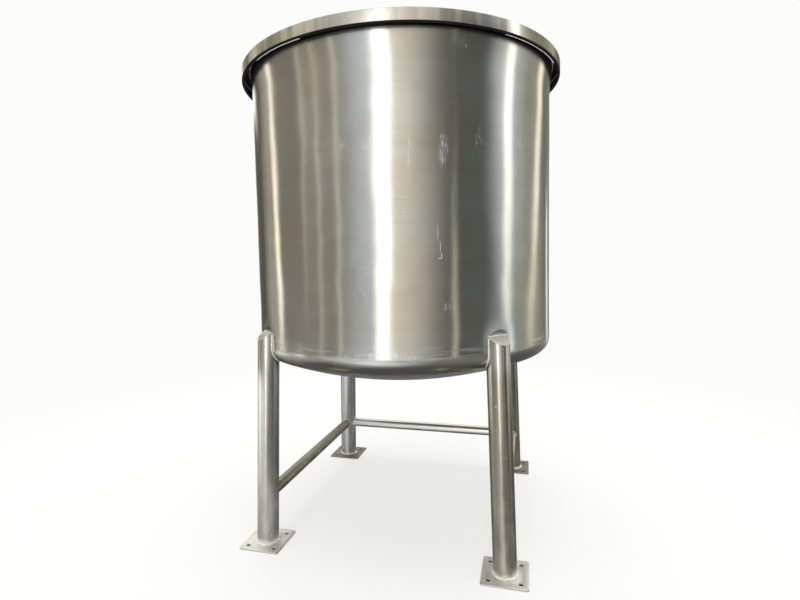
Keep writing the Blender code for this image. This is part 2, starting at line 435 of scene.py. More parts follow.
def makePlates(materials):
    size = plateHigh.x - plateLow.x
    for turn, name in enumerate(leg["names"]):
        centre = legSpot(turn, leg["foot"])
        bm = bmesh.new()
        bmesh.ops.create_cube(bm, size=1.0, matrix=Matrix.Translation((centre.x, centre.y, plateTop / 2))
                              @ Matrix.Diagonal((size, size, plateTop, 1)))
        upright = [edge for edge in bm.edges if abs(edge.verts[0].co.z - edge.verts[1].co.z) > 0.001]
        bmesh.ops.bevel(bm, geom=upright, offset=plate["corner"], offset_type="OFFSET", affect="EDGES",
                        segments=6, profile=0.5, material=-1)
        piece = newObject(name + "_plate", bm)
        holes = []
        for side, end in ((-1, -1), (-1, 1), (1, -1), (1, 1)):
            spot = Matrix.Translation((centre.x + side * plate["holeSpacing"] / 2,
                                       centre.y + end * plate["holeSpacing"] / 2, 0))
            drill = roundBar(plate["holeRadius"], -0.01, 0.02, plate["holeSides"], spot, True)
            holes.append(newObject("hole", drill))
        carve(piece, holes)
        discard(holes)
        roundEdges(piece, plate["edge"])
        place(piece, materials[turn], [name + "_base_plate"])


# Braces

def braceEnds(first, second):
    reach = leg["foot"] - braceHeight * tan(leg["lean"])
    return [legSpot(turn, reach, braceHeight) for turn in (first, second)]


def braceFrame(start, end):
    return Matrix.Translation(start) @ (end - start).to_track_quat("Z", "Y").to_matrix().to_4x4()


def makeBraces(materials):
    for side, first, second in brace["runs"]:
        start, end = braceEnds(first, second)
        axisFrame = braceFrame(start, end)
        pipe = newObject(side + "_bracePipe",
                         roundBar(brace["radius"], 0, (end - start).length, brace["sides"], axisFrame))
        cutters = []
        for turn in (first, second):
            rod = roundBar(leg["radius"] + brace["gap"], 0.0, 0.4, leg["sides"], legFrame(turn), True)
            cutters.append(newObject("legCutter", rod))
        finishPipe(pipe, brace, cutters, axisFrame, materials[side], side + "_brace")
        discard(cutters)


# Weld beads

# Radius of each bead and distance between its crests
beads = {
    "seam": (0.0028, 0.0028),
    "capEdge": (0.0011, 0.004),
    "cap": (0.0020, 0.003),
    "foot": (0.0042, 0.0028),
    "brace": (0.0022, 0.0028),
    "rimShell": (0.0026, 0.004),
    "rimHoop": (0.0022, 0.004),
    "lip": (0.0017, 0.0105),
}


def beadAlong(name, path, radius, pitch, closed, seed, swing):
    lengths = [0.0]
    loop = path + [path[0]] if closed else path
    for a, b in zip(loop, loop[1:]):
        lengths.append(lengths[-1] + (b - a).length)
    total = lengths[-1]
    count = max(8, int(ceil(total / (pitch / 4))))
    curve = bpy.data.curves.new(name, "CURVE")
    curve.dimensions = "3D"
    curve.bevel_depth = 1.0
    curve.bevel_resolution = 1
    curve.use_fill_caps = not closed
    spline = curve.splines.new("POLY")
    spline.points.add(count - 1)
    spline.use_cyclic_u = closed
    index = 0
    for i in range(count):
        at = total * i / (count if closed else count - 1)
        while index < len(lengths) - 2 and lengths[index + 1] < at:
            index += 1
        span = lengths[index + 1] - lengths[index]
        share = (at - lengths[index]) / span if span > 0 else 0
        point = loop[index].lerp(loop[index + 1], min(1, share))
        phase = (at / pitch) % 1.0
        crest = max(0.1, 1.0 + swing * (phase - 0.5) + 0.16 * ripple(point, 90, seed))
        wander = Vector((ripple(point, 60, seed + 20), ripple(point, 60, seed + 40), 0)) * radius * 0.35
        spline.points[i].co = (*(point + wander), 1)
        spline.points[i].radius = radius * crest
    cord = addObject(name, curve)
    skin = bpy.data.meshes.new_from_object(cord.evaluated_get(bpy.context.evaluated_depsgraph_get()))
    discard([cord])
    bm = bmesh.new()
    bm.from_mesh(skin)
    bmesh.ops.remove_doubles(bm, verts=bm.verts, dist=1e-6)
    bead = newObject(name, bm)
    bead.data.shade_smooth()
    return bead


def seamPath(turn):
    axisFrame = legFrame(turn)
    radius = leg["radius"]

    def onPipe(angle, height):
        return axisFrame @ Vector((radius * cos(angle), radius * sin(angle), height))

    def outside(angle, height):
        point = onPipe(angle, height)
        azimuth = atan2(point.y, point.x)
        return hypot(point.x, point.y) - tankRadiusAt(point.z) - swellAt(azimuth, point.z)

    def meeting(height, side):
        low, high = 0.0, pi
        for _ in range(30):
            middle = (low + high) / 2
            if outside(middle, height) > 0:
                low = middle
            else:
                high = middle
        return onPipe(side * low, height)

    bottom = tangentHeight - 0.06
    while outside(pi, bottom) > 0:
        bottom += 0.0005
    top = leg["capHigh"] - 0.004
    heights = [bottom + (top - bottom) * i / 40 for i in range(41)]
    left = [meeting(height, 1) for height in reversed(heights)]
    right = [meeting(height, -1) for height in heights]
    return left + right[1:]


def capPaths(turn):
    axisFrame = legFrame(turn)
    slant = capFrame(turn)
    up = slant.to_3x3() @ Vector((0, 0, 1))
    axis = axisFrame.to_3x3() @ Vector((0, 0, 1))
    edge = []
    for i in range(61):
        angle = pi * (i / 30 - 1)
        base = axisFrame @ Vector((leg["radius"] * cos(angle), leg["radius"] * sin(angle), 0))
        point = base + axis * ((slant.translation - base).dot(up) / axis.dot(up))
        if hypot(point.x, point.y) > shellRadius + swellAt(atan2(point.y, point.x), point.z):
            edge.append(point)
    azimuth = legAzimuth(turn)
    ends = [atan2(edge[i].y, edge[i].x) - azimuth for i in (0, -1)]
    ends = [atan2(sin(a), cos(a)) for a in ends]
    chord = []
    for i in range(25):
        angle = ends[0] + (ends[1] - ends[0]) * i / 24
        radius = shellRadius + swellAt(azimuth + angle, leg["capHigh"])
        height = leg["capHigh"] - (radius * cos(angle) - shellRadius) * tan(leg["capSlope"])
        chord.append(Vector((radius * cos(azimuth + angle), radius * sin(azimuth + angle), height)))
    return edge, chord


def bracePath(start, end, turn):
    axisFrame = legFrame(turn)
    origin = axisFrame.translation
    axis = (axisFrame.to_3x3() @ Vector((0, 0, 1))).normalized()
    back = -(end - start).normalized()
    run = braceFrame(start, end)
    middle = (end - start).length / 2
    path = []
    for i in range(brace["sides"]):
        angle = 2 * pi * i / brace["sides"]
        point = run @ Vector((brace["radius"] * cos(angle), brace["radius"] * sin(angle), middle))
        offset = point - origin
        offset -= axis * offset.dot(axis)
        flat = back - axis * back.dot(axis)
        a, b, c = flat.dot(flat), 2 * offset.dot(flat), offset.dot(offset) - leg["radius"] ** 2
        path.append(point + back * ((-b - sqrt(b * b - 4 * a * c)) / (2 * a)))
    return path


def ringPath(radius, height, steps, centre=(0, 0)):
    angles = [2 * pi * i / steps for i in range(steps)]
    return [Vector((centre[0] + radius * cos(angle), centre[1] + radius * sin(angle), height))
            for angle in angles]


def makeWelds(material, dashMaterial):
    def weld(kind, name, path, closed, seed, finish=material, nodes=(), swing=0.16):
        place(beadAlong(name, path, *beads[kind], closed, seed, swing), finish, nodes)

    for turn, name in enumerate(leg["names"]):
        weld("seam", name + "_seamWeld", seamPath(turn), False, turn)
        edge, chord = capPaths(turn)
        weld("capEdge", name + "_capEdgeWeld", edge, False, turn + 5)
        weld("cap", name + "_capWeld", chord, False, turn + 9)
        ring = ringPath(leg["radius"] + 0.001, plateTop + 0.001, leg["sides"], legSpot(turn, leg["foot"]))
        weld("foot", name + "_footWeldBead", ring, True, turn + 13, dashMaterial, [name + "_foot_weld"])
    for side, first, second in brace["runs"]:
        start, end = braceEnds(first, second)
        weld("brace", side + "_braceWeldA", bracePath(start, end, first), True, first + 17)
        weld("brace", side + "_braceWeldB", bracePath(end, start, second), True, second + 17)
    under = rimTop - vessel["sheet"]
    topEdge = []
    for point in ringPath(shellRadius, under - 0.001, vessel["turns"]):
        outward = 1 + (swellAt(atan2(point.y, point.x), point.z) + 0.001) / shellRadius
        topEdge.append(Vector((point.x * outward, point.y * outward, point.z)))
    weld("rimShell", "rimShellWeld", topEdge, True, 31)
    lipRadius = rimRadius - rim["lip"] + 0.0004
    for index, (start, end) in enumerate(rim["lipRuns"]):
        angles = [radians(degrees) for degrees in range(start, end + 1, 2)]
        run = [Vector((lipRadius * cos(angle), lipRadius * sin(angle), rimBottom + 0.0006))
               for angle in angles]
        weld("lip", "rimLipBead%d" % (index + 1), run, False, 41, dashMaterial, swing=0.9)
    hoopEdge = ringPath(rimRadius - vessel["sheet"] - 0.0008, under - 0.0008, vessel["turns"])
    weld("rimHoop", "rimHoopWeld", hoopEdge, True, 37)


# Finishes

def uvPattern(uv, acrossMm, alongMm, detail=3.0, distortion=0.0):
    tree = uv.id_data
    grid = addNode(tree, "Mapping", {"Vector": uv.outputs[0], "Scale": (1000 / acrossMm, 1000 / alongMm, 1)})
    return addNode(tree, "TexNoise", {"Vector": grid.outputs[0], "Scale": 1.0, "Detail": detail,
                                      "Distortion": distortion}).outputs[0]


def solidPattern(coords, cellMm, detail=3.0, stretch=(1, 1, 1), turn=(0, 0, 0)):
    tree = coords.id_data
    scale = [1000 / cellMm / axis for axis in stretch]
    grid = addNode(tree, "Mapping", {"Vector": coords.outputs["Object"], "Scale": scale, "Rotation": turn})
    return addNode(tree, "TexNoise", {"Vector": grid.outputs[0], "Scale": 1.0, "Detail": detail}).outputs[0]


def ramp(value, start, end, low=0.0, high=1.0):
    return addNode(value.id_data, "MapRange", {"Value": value, "From Min": start, "From Max": end,
                                               "To Min": low, "To Max": high},
                   interpolation_type="SMOOTHSTEP").outputs[0]


def blend(share, first, second):
    ends = [linearColour(end) if isinstance(end, str) else end for end in (first, second)]
    return addNode(share.id_data, "Mix", {0: share, 6: ends[0], 7: ends[1]}, data_type="RGBA").outputs[2]


def math(operation, first, second=0.0):
    return addNode(first.id_data, "Math", {0: first, 1: second}, operation=operation).outputs[0]


def times(first, second):
    return math("MULTIPLY", first, second)


def plus(total, *values):
    for value in values:
        total = math("ADD", total, value)
    return total


def most(total, *values):
    for value in values:
        total = math("MAXIMUM", total, value)
    return total


def graded(colour, *parts):
    # Colour made darker and lighter by patterns, each given with its strength, about the same mean
    grain = 1.0 - 0.5 * sum(strength for pattern, strength in parts)
    for pattern, strength in parts:
        grain = plus(times(pattern, strength), grain)
    vector = linearColour(colour)[:3] if isinstance(colour, str) else colour
    return addNode(grain.id_data, "VectorMath", {0: vector, "Scale": grain}, operation="SCALE").outputs[0]


def into(shader, **values):
    names = {"colour": "Base Color", "roughness": "Roughness", "metallic": "Metallic", "normal": "Normal",
             "tangent": "Tangent"}
    for name, value in values.items():
        shader.id_data.links.new(value, shader.inputs[names[name]])


def roundTangent(shader):
    into(shader, tangent=addNode(shader.id_data, "Tangent", direction_type="RADIAL", axis="Z").outputs[0])


def bumps(shader, *layers):
    normal = None
    for height, distance in layers:
        node = addNode(shader.id_data, "Bump", {"Height": height, "Distance": distance})
        if normal is not None:
            shader.id_data.links.new(normal, node.inputs["Normal"])
        normal = node.outputs[0]
    into(shader, normal=normal)


def wisps(uv, acrossMm, alongMm, threshold=0.58, width=0.022):
    # Thin curling edges of dried wipes: the level lines of a noise, kept only in some places
    curl = uvPattern(uv, acrossMm, alongMm, 5.0, 1.4)
    level = math("ABSOLUTE", math("SUBTRACT", curl, 0.5))
    kept = uvPattern(uv, acrossMm * 2.3, alongMm * 1.7)
    return times(ramp(level, width, 0.0), ramp(kept, threshold, threshold + 0.12))


def specks(vector, cellMm, speckMm, share=0.5):
    tree = vector.id_data
    grid = addNode(tree, "Mapping", {"Vector": vector, "Scale": [1000 / cellMm] * 3})
    cells = addNode(tree, "TexVoronoi", {"Vector": grid.outputs[0], "Scale": 1.0})
    dot = ramp(cells.outputs["Distance"], speckMm / cellMm, speckMm / cellMm * 0.4)
    chance = addNode(tree, "SeparateColor", {0: cells.outputs["Color"]})
    return times(dot, ramp(chance.outputs[0], share, share + 0.1))


sheetLook = {
    "steelHex": "#C5C6C2",
    "patinaHex": "#B3B0A0",      # thin film left by polishing compound
    "paleMarkAndHighlightHex": "#DDE2E8",        # pale wipes, hand marks and painted highlights
    "behindHoopShadeHex": "#3C3A37",   # painted shade on the sheet where it runs up behind the hoop
    "capArcReflectionHex": "#45484C",        # painted dark reflection in the dent above each cap's weld
    "reflectionArc": (0.006, 0.029, 0.046, 0.009),      # shift sideways, centre below the cap, radius, half width
    "roughness": 0.165,
    "scratchMm": 3.0,            # real belt scratches are 0.1 mm apart, too fine to show: drawn 3 mm apart
    "scratchLengthMm": 220,
    "beltMm": (900, 42),         # passes of the belt, round and up
    "sparkleMm": 3.5,
    "cloudMm": (190, 266),
    "mottleMm": (11, 22),
    "smearMm": (130, 9),
    "curlMm": (15, 150),
    "wipeMm": (90, 170),
    "smearFoot": (0.770, 0.735),     # heights where smears of polish begin and are full
    "haloReach": (0.085, 0.045),     # the same round each leg's top, in metres from it; these pale swirls are partly painted highlight
    "spatterMm": (85, 1.7),      # spacing and size
}

# Wipes and smudges on the sheet, and one painted highlight low at the front (at -84 degrees): degrees round
# the tank, height, reach sideways and up in mm, strength
smudgesAndHighlight = (
    (-57.0, 1.643, 20, 30, 0.45),
    (-74.0, 1.328, 16, 56, 0.9),
    (-63.7, 1.336, 20, 66, 1.0),
    (-51.9, 1.375, 18, 52, 0.45),
    (-44.0, 1.353, 34, 18, 0.5),
    (-35.0, 1.378, 52, 16, 0.7),
    (-102.0, 1.318, 16, 24, 0.6),
    (-93.3, 1.357, 24, 18, 0.6),
    (-86.4, 1.351, 20, 18, 0.6),
    (-63.1, 0.868, 18, 20, 0.8),
    (-60.5, 0.900, 14, 34, 0.5),
    # Painted highlight: the key reflection spreading out low on the sheet
    (-84.0, 0.718, 210, 22, 1.0),
    (-97.0, 0.880, 26, 40, 0.4),
    (20.0, 1.100, 40, 60, 0.7),
    (118.0, 1.300, 36, 60, 0.8),
    (160.0, 0.950, 60, 30, 0.5),
)

# A dried trickle: the same columns, drawn solid
trickles = ((-65.6, 1.094, 2.2, 40, 0.6), (-64.9, 1.050, 2.2, 30, 0.7), (-64.5, 1.024, 2.4, 12, 0.9),
            (-65.0, 1.017, 7, 2.6, 0.9))


def spotMask(uv, spots, radius=shellRadius):
    tree = uv.id_data
    total = 0.0
    for degrees, height, sideMm, upMm, strength in spots:
        scale = (1000 / sideMm, 1000 / upMm, 0)
        shift = (-radians(degrees) * radius * scale[0], -height * scale[1], 0)
        grid = addNode(tree, "Mapping", {"Vector": uv.outputs[0], "Scale": scale, "Location": shift})
        reach = addNode(tree, "VectorMath", {0: grid.outputs[0]}, operation="LENGTH").outputs["Value"]
        total = most(ramp(reach, 1.0, 0.45, 0.0, strength), total)
    return total


def brushedSheet():
    # 304 stainless sheet, belted round the tank: crisp from side to side and drawn out up and down, with a
    # thin olive film, pale hand marks, weld spatter, smears of polish along the bottom and round the leg
    # tops, painted highlight round the leg tops and low at the front, a painted dark reflection arc over
    # each cap, and painted shade on the sheet behind the hoop
    look = sheetLook
    material, tree, shader = startMaterial("brushedSheet", 1.0, 0.25)
    roundTangent(shader)
    uv = addNode(tree, "UVMap", uv_map="metres")
    at = addNode(tree, "SeparateXYZ", {0: uv.outputs[0]})
    scratch = uvPattern(uv, look["scratchLengthMm"], look["scratchMm"], 4.0)
    belt = uvPattern(uv, *look["beltMm"])
    sparkle = uvPattern(uv, look["sparkleMm"], look["sparkleMm"], 2.0)
    cloud = uvPattern(uv, *look["cloudMm"], 4.0)
    mottle = uvPattern(uv, *look["mottleMm"], 6.0, 1.0)
    smear = uvPattern(uv, *look["smearMm"], 4.0)

    foot = times(ramp(at.outputs["Y"], *look["smearFoot"]), ramp(smear, 0.40, 0.66))
    legSpan = shellRadius * pi / 2
    sideways = addNode(tree, "Math", {0: at.outputs["X"], 1: legSpan, 2: 0.0}, operation="WRAP").outputs[0]
    fromCap = plus(at.outputs["Y"], -(leg["capHigh"] - 0.03))
    reach = addNode(tree, "CombineXYZ", {0: plus(sideways, -legSpan / 2), 1: times(fromCap, 0.8)})
    reach = addNode(tree, "VectorMath", {0: reach.outputs[0]}, operation="LENGTH").outputs["Value"]
    # Pale polish swirls round each leg's top, partly painted highlight
    halo = times(ramp(reach, *look["haloReach"]), ramp(mottle, 0.35, 0.65, 0.5, 1.0))
    # Painted dark reflection: an arc on the sheet over each cap, in the dent above its weld
    aside, below, arcRadius, arcHalf = look["reflectionArc"]
    overCap = plus(at.outputs["Y"], -leg["capHigh"])
    arc = addNode(tree, "CombineXYZ", {0: plus(sideways, -legSpan / 2 - aside), 1: plus(overCap, below)})
    arc = addNode(tree, "VectorMath", {0: arc.outputs[0]}, operation="LENGTH").outputs["Value"]
    offArc = math("ABSOLUTE", plus(arc, -arcRadius))
    arcReflection = times(ramp(offArc, arcHalf, arcHalf * 0.2), ramp(overCap, 0.003, 0.012))

    curls = most(wisps(uv, *look["curlMm"], 0.20, 0.05), ramp(mottle, 0.50, 0.70, 0.0, 0.5))
    marksAndHighlight = times(spotMask(uv, smudgesAndHighlight), curls)
    wipes = times(wisps(uv, *look["wipeMm"]), 0.3)
    marksAndHighlight = times(most(marksAndHighlight, wipes, spotMask(uv, trickles)), 0.85)
    spatter = specks(uv.outputs[0], *look["spatterMm"])
    pale = most(marksAndHighlight, spatter, times(halo, 0.34), times(foot, 0.36))
    colour = blend(ramp(cloud, 0.30, 0.70, 0.0, 0.55), look["steelHex"], look["patinaHex"])
    colour = graded(colour, (scratch, 0.16), (belt, 0.10), (sparkle, 0.26))
    colour = blend(pale, colour, look["paleMarkAndHighlightHex"])
    colour = blend(times(arcReflection, 0.62), colour, look["capArcReflectionHex"])
    # Painted shade: the sheet is darkened where it runs up behind the hoop, and rougher there
    shadedBehindHoop = ramp(at.outputs["Y"], rimBottom - 0.002, rimBottom + 0.003)
    rough = plus(times(scratch, 0.03), times(cloud, 0.05), look["roughness"] - 0.04)
    rough = plus(rough, times(most(halo, foot), 0.07), times(marksAndHighlight, 0.15), times(shadedBehindHoop, 0.2))
    into(shader, colour=blend(shadedBehindHoop, colour, look["behindHoopShadeHex"]), roughness=rough,
         metallic=ramp(pale, 0.0, 1.0, 1.0, 0.35))
    bumps(shader, (scratch, 0.00004), (sparkle, 0.00011))
    return material


endLook = {
    "steelHex": "#D2D3CF",
    "filmHex": "#BDBBAE",
    "mopMm": (240, 6),
    "cloudMm": (140, 50),
    "knuckle": (1.215, 1.280),      # where smears begin, in height plus distance from the axis
    "frontPaintedHighlight": ((-84.0, tangentHeight + shellRadius, 260, 26, 0.7),),
}


def polishedEnd():
    # The same sheet, pressed and mopped: rounder reflections, smears of compound along the knuckle, and a
    # painted highlight at the front of the knuckle
    look = endLook
    material, tree, shader = startMaterial("polishedEnd", 0.5, 0.25)
    roundTangent(shader)
    uv = addNode(tree, "UVMap", uv_map="metres")
    at = addNode(tree, "SeparateXYZ", {0: uv.outputs[0]})
    mop = uvPattern(uv, *look["mopMm"], 4.0)
    cloud = uvPattern(uv, *look["cloudMm"], 5.0)
    smear = times(ramp(at.outputs["Y"], *look["knuckle"]), ramp(cloud, 0.48, 0.66))
    # Painted highlight: pale and less metallic at the front of the knuckle, below the key reflection
    frontHighlight = times(spotMask(uv, look["frontPaintedHighlight"]), ramp(cloud, 0.36, 0.60, 0.3, 1.0))
    colour = blend(ramp(cloud, 0.3, 0.7, 0.1, 0.7), look["steelHex"], look["filmHex"])
    colour = graded(colour, (mop, 0.16))
    into(shader, colour=blend(most(times(smear, 0.25), frontHighlight), colour, sheetLook["paleMarkAndHighlightHex"]),
         roughness=plus(times(mop, 0.06), times(smear, 0.12), 0.20),
         metallic=ramp(frontHighlight, 0.0, 1.0, 1.0, 0.30))
    bumps(shader, (mop, 0.00005))
    return material


rimLook = {
    "steelHex": "#CFCCC1",
    "creamHighlightHex": "#FAF5E9",
    "slateReflectionHex": "#A3A9AF",
    "oliveReflectionHex": "#7C7B6C",
    "channelShadeHex": "#1B1A19",     # painted shade inside the channel
    "underEdgeShadeHex": "#100F0E",       # painted shade under the turned-in edge
    "scratchMm": (110, 2.4),
    "bandMm": (34, 500),
    "waveMm": (120, 500),        # the bar's slow buckles
    "mottleMm": (9, 14),
    "streakHighMm": 400,         # well over the hoop's height
}

# Upright streaks of painted reflection on the hoop, cream ones painted highlights and slate and olive
# ones darker painted reflections: degrees round the tank, reach sideways in mm, strength
creamHighlightStreaks = ((-144.0, 34, 1.0), (-128.5, 14, 0.2), (-113.5, 10, 0.4), (-111.0, 20, 1.0), (-105.5, 30, 0.7),
                (-101.5, 22, 0.6), (-97.0, 24, 0.3), (-68.0, 44, 0.6), (-60.0, 13, 0.8), (-54.0, 13, 1.0),
                (-41.4, 27, 0.65), (30.0, 20, 0.6), (95.0, 26, 0.7), (150.0, 16, 0.8))
slateReflectionStreaks = ((-139.0, 12, 0.2), (-119.0, 10, 0.4), (-108.0, 8, 0.4), (-96.0, 20, 0.4), (-64.0, 16, 0.4),
                (-51.0, 14, 0.5), (60.0, 30, 0.6), (125.0, 24, 0.5), (178.0, 40, 0.5))
oliveReflectionStreaks = ((-134.0, 26, 0.4), (-123.0, 36, 0.65), (-117.5, 24, 0.35), (-78.0, 24, 0.25),
                (-45.6, 18, 0.55), (-34.0, 72, 0.70), (-26.5, 50, 0.75), (-21.5, 50, 1.0), (-12.0, 110, 1.0),
                (0.0, 90, 0.8), (80.0, 90, 0.4))


def streakMask(uv, streaks):
    middle = rimTop + rimRadius
    high = rimLook["streakHighMm"]
    spots = [(degrees, middle, side, high, strength) for degrees, side, strength in streaks]
    return spotMask(uv, spots, rimRadius)


def sandedBand():
    # Flat bar rolled and sanded by hand: blurred reflections in upright bands of tone, upright streaks of
    # painted reflection and painted highlight, and painted shade in the channel and black under the edge
    look = rimLook
    material, tree, shader = startMaterial("sandedBand", 0.7, 0.25)
    roundTangent(shader)
    uv = addNode(tree, "UVMap", uv_map="metres")
    coords = addNode(tree, "TexCoord")
    at = addNode(tree, "SeparateXYZ", {0: coords.outputs["Object"]})
    flat = addNode(tree, "CombineXYZ", {0: at.outputs["X"], 1: at.outputs["Y"]})
    radius = addNode(tree, "VectorMath", {0: flat.outputs[0]}, operation="LENGTH").outputs["Value"]
    scratch = uvPattern(uv, *look["scratchMm"], 4.0)
    band = uvPattern(uv, *look["bandMm"], 2.0)
    wave = uvPattern(uv, *look["waveMm"], 1.0)
    mottle = uvPattern(uv, *look["mottleMm"], 5.0, 0.6)
    # Painted reflections on the hoop: cream streaks lighten it, slate and olive ones darken it
    cream, slate, olive = [streakMask(uv, streaks) for streaks in (creamHighlightStreaks, slateReflectionStreaks, oliveReflectionStreaks)]
    colour = blend(olive, look["steelHex"], look["oliveReflectionHex"])
    colour = blend(times(cream, 0.9), colour, look["creamHighlightHex"])
    colour = blend(times(slate, 0.7), colour, look["slateReflectionHex"])
    colour = graded(colour, (scratch, 0.10), (band, 0.24), (mottle, 0.16))
    # Painted shade: the inner face of the channel is darkened
    inside = times(ramp(radius, rimRadius - 0.0012, rimRadius - 0.0026),
                   ramp(at.outputs["Z"], rimTop - 0.0008, rimTop - 0.0020))
    colour = blend(inside, colour, look["channelShadeHex"])
    # Painted shade: black and not metallic under the turned-in edge
    under = ramp(at.outputs["Z"], rimBottom + 0.0032, rimBottom + 0.0022)
    rough = plus(times(band, 0.20), times(mottle, 0.08), 0.18, times(inside, 0.12), times(under, 0.6))
    into(shader, colour=blend(under, colour, look["underEdgeShadeHex"]), roughness=rough,
         metallic=ramp(under, 0.0, 1.0, 1.0, 0.0))
    bumps(shader, (wave, 0.0012), (scratch, 0.00004))
    return material


pipeLook = {
    "polishedHex": "#CACAC5",    # the top of each leg, mopped with the shell
    "dustHex": "#D8D4CA",
    # pale colour of grinder nicks and spatter, and of the painted reflection at the foot
    "paleNickAndReflectionHex": "#F2F2EE",
    "streakMm": (3.2, 150),      # mop streaks along the pipe, drawn about 3 mm apart so that they show
    "ringMm": (60, 2.4),
    "cloudMm": (40, 90),
    "lumpMm": (26, 120),
    "nickMm": (16, 34),
    "spatterMm": (32, 3.0),      # spacing and size, drawn larger than life so that they show
    "dustHeights": (0.40, 0.12),
    "footReflectionHeights": (0.042, 0.022),
    "polishHeights": (0.650, 0.715),
}

# Base colour, roughness, and how much rougher a pipe is where dust lies on it. The base colours are
# lighter and darker copies of one tube finish, painted light and shade
pipeTones = {
    "moppedLeg": ("#AFAA9E", 0.22, 0.10),
    "litMoppedLeg": ("#B6B7B4", 0.26, 0.18),
    "coolLitMoppedLeg": ("#B9BDBF", 0.20, 0.10),
    "shadedMoppedLeg": ("#8F8C84", 0.24, 0.10),
    "moppedBrace": ("#D4D4CF", 0.21, 0.10),
    "shadedOliveMoppedBrace": ("#8F8D7F", 0.26, 0.10),
}


def moppedPipe(name, steelHex, roughness, dulling):
    # Welded stainless tube with a satin mop finish: lengthwise streaks, grinder nicks, weld spatter, a film
    # of dust on the lowest 400 mm, and a pale band at the foot that is a painted reflection of the plate and
    # floor
    look = pipeLook
    material, tree, shader = startMaterial(name)
    uv = addNode(tree, "UVMap", uv_map="metres")
    coords = addNode(tree, "TexCoord")
    at = addNode(tree, "SeparateXYZ", {0: coords.outputs["Object"]})
    streak = uvPattern(uv, *look["streakMm"], 4.0)
    ring = uvPattern(uv, *look["ringMm"], 2.0)
    cloud = uvPattern(uv, *look["cloudMm"], 5.0)
    lump = uvPattern(uv, *look["lumpMm"], 2.0)
    nick = wisps(uv, *look["nickMm"], 0.60)
    spatter = specks(uv.outputs[0], *look["spatterMm"], 0.6)
    low = ramp(at.outputs["Z"], *look["dustHeights"])
    dust = times(low, ramp(cloud, 0.35, 0.65, 0.05, 0.30))
    # Painted reflection: a pale band round the foot, where the pipe mirrors the bright plate and floor
    footReflection = times(ramp(plus(at.outputs["Z"], times(cloud, 0.03)), *look["footReflectionHeights"]), 0.8)
    polished = ramp(plus(at.outputs["Z"], times(cloud, 0.05)), *look["polishHeights"])
    colour = blend(polished, steelHex, look["polishedHex"])
    colour = graded(colour, (streak, 0.22), (cloud, 0.22), (ring, 0.08))
    colour = blend(dust, colour, look["dustHex"])
    bright = most(times(nick, 0.5), spatter, footReflection)
    rough = plus(times(cloud, 0.12), roughness - 0.06, times(low, dulling), times(bright, 0.1))
    into(shader, colour=blend(bright, colour, look["paleNickAndReflectionHex"]), roughness=rough,
         metallic=ramp(most(dust, bright), 0.0, 1.0, 1.0, 0.35))
    bumps(shader, (lump, 0.0006), (streak, 0.00010), (ring, 0.00003))
    return material


capLook = {"steelHex": "#DADBCF", "scratchMm": 3, "cloudMm": 22}


def groundCap():
    # Plate ground flat with a coarse disc: a matt pale grey with short scratches across it
    look = capLook
    material, tree, shader = startMaterial("groundCap")
    coords = addNode(tree, "TexCoord")
    scratch = solidPattern(coords, look["scratchMm"], 3.0, (6, 1, 1), (0.4, 0.2, 0.7))
    cloud = solidPattern(coords, look["cloudMm"])
    into(shader, colour=graded(look["steelHex"], (scratch, 0.16), (cloud, 0.14)),
         roughness=plus(times(cloud, 0.14), 0.34))
    bumps(shader, (scratch, 0.00006))
    return material


plateLook = {
    # Lighter front and darker rear copies of the plate finish: painted light and shade
    "litFrontHex": "#EDEDE7",
    "shadedRearHex": "#8A887E",
    "scuffHex": "#F6F6F4",
    "spatterHex": "#5A554E",
    "shearedHex": "#8D897F",
    "gritMm": 1.6,
    "cloudMm": 60,
    "scuffMm": 2.2,
    "spatterMm": (19, 1.2),
}


def shearedPlate(name, steelHex):
    # Sheared 5 mm plate as it left the mill: an even satin grey, a little scuffed, with grit and weld spatter
    look = plateLook
    material, tree, shader = startMaterial(name)
    coords = addNode(tree, "TexCoord")
    at = addNode(tree, "SeparateXYZ", {0: coords.outputs["Object"]})
    grit = solidPattern(coords, look["gritMm"], 2.0)
    cloud = solidPattern(coords, look["cloudMm"], 4.0)
    scuffs = 0.0
    for turn in (0.4, 1.7, 2.6):
        line = solidPattern(coords, look["scuffMm"], 2.0, (30, 1, 8), (0, 0, turn))
        scuffs = most(ramp(line, 0.64, 0.74), scuffs)
    spatter = specks(coords.outputs["Object"], *look["spatterMm"], 0.6)
    colour = graded(steelHex, (grit, 0.24), (cloud, 0.10))
    colour = blend(times(scuffs, 0.3), colour, look["scuffHex"])
    colour = blend(spatter, colour, look["spatterHex"])
    sheared = ramp(at.outputs["Z"], plateTop - 0.0004, plateTop - 0.0012)
    into(shader, colour=blend(times(sheared, 0.3), colour, look["shearedHex"]),
         roughness=plus(times(cloud, 0.10), times(grit, 0.08), 0.41),
         metallic=ramp(grit, 0.3, 0.7, 0.95, 0.75))
    bumps(shader, (grit, 0.00003))
    return material


weldLook = {"crestHex": "#F8F8F6", "strawHex": "#C8BCA4", "cloudMm": 14}


def weldBead(name, shine):
    # Gas-shielded weld, wire brushed: bright pale crests with a trace of straw colour in the hollows
    material, tree, shader = startMaterial(name)
    coords = addNode(tree, "TexCoord")
    cloud = solidPattern(coords, weldLook["cloudMm"], 4.0)
    warm = ramp(cloud, 0.50, 0.70, 0.0, 0.3)
    into(shader, colour=blend(warm, weldLook["crestHex"], weldLook["strawHex"]),
         roughness=plus(times(cloud, 0.24), 0.14), metallic=ramp(cloud, 0.35, 0.65, *shine))
    bumps(shader, (cloud, 0.0003))
    return material


# Camera at the photograph's place

